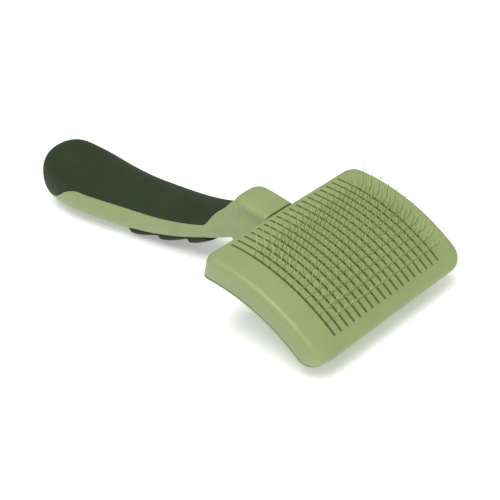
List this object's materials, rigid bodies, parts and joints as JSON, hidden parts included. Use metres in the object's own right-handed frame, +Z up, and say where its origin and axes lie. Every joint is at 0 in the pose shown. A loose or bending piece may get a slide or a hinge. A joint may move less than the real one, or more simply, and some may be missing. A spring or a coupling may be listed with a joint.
{
  "type": "slicker brush",
  "caption": "Self-cleaning pet slicker brush: bent wire pins stand through a slotted curved face and draw back into the head when the thumb button is pushed.",
  "frame": {"origin": "centre of the bottom of the bounding box, on the table the brush lies on, pins up", "axes": "+X from the handle to the front of the head, +Y across the brush, +Z up from the table; the head leans forward 23.48 degrees about Y in this lying attitude"},
  "size_m": [0.2134, 0.09, 0.0491],
  "materials": {
    "green_plastic": "fine satin moulding, sage green",
    "grey_plastic": "plain moulded, unseen inside the head",
    "dark_plastic": "satin, very dark green",
    "dark_rubber": "soft-touch overmould, very dark green",
    "pin_steel": "drawn stainless wire",
    "spring_steel": "drawn spring wire",
    "zinc_steel": "zinc plated"
  },
  "bodies": {
    "housing": {"cover_screw_1": "zinc_steel", "cover_screw_2": "zinc_steel", "cover_screw_3": "zinc_steel", "cover_screw_4": "zinc_steel", "grip_pad": "dark_rubber", "guide_post_1": "zinc_steel", "guide_post_2": "zinc_steel", "guide_post_3": "zinc_steel", "guide_post_4": "zinc_steel", "handle_body": "green_plastic", "head_frame": "green_plastic", "neck_cap": "green_plastic", "pivot_pin": "pin_steel", "rear_cover": "green_plastic", "return_spring_1": "spring_steel", "return_spring_2": "spring_steel", "return_spring_3": "spring_steel", "return_spring_4": "spring_steel", "thumb_rest": "dark_rubber"},
    "pin_carriage": {"pin_carrier": "grey_plastic", "pin_comb_01": "pin_steel", "pin_comb_02": "pin_steel", "pin_comb_03": "pin_steel", "pin_comb_04": "pin_steel", "pin_comb_05": "pin_steel", "pin_comb_06": "pin_steel", "pin_comb_07": "pin_steel", "pin_comb_08": "pin_steel", "pin_comb_09": "pin_steel", "pin_comb_10": "pin_steel", "pin_comb_11": "pin_steel", "pin_comb_12": "pin_steel", "pin_comb_13": "pin_steel", "pin_comb_14": "pin_steel", "pin_comb_15": "pin_steel", "pin_comb_16": "pin_steel", "pin_comb_17": "pin_steel", "pin_comb_18": "pin_steel"},
    "lifter": {"lifter_lever": "zinc_steel", "lifter_pin": "pin_steel"},
    "button": {"thumb_button": "dark_plastic"}
  },
  "joints": [
    {"name": "pin_retract", "type": "slide", "parent": "housing", "child": "pin_carriage", "axis": [-0.3983, 0, -0.9172], "range_m": [0, 0.0132], "stiffness_N_per_m": 200, "springref_m": -0.01, "deforming": ["return_spring_1", "return_spring_2", "return_spring_3", "return_spring_4"]},
    {"name": "lifter_swing", "type": "hinge", "parent": "housing", "child": "lifter", "pos_m": [0.04031, 0, 0.02535], "axis": [0, 1, 0], "range_deg": [0, 19.36]},
    {"name": "button_push", "type": "slide", "parent": "housing", "child": "button", "axis": [-0.131, 0, 0.9914], "range_m": [0, 0.00315]}
  ],
  "couplings": [
    {"joint": "lifter_swing", "follows": "pin_retract", "rad_per_m": 25.586},
    {"joint": "button_push", "follows": "pin_retract", "ratio": 0.2384}
  ]
}
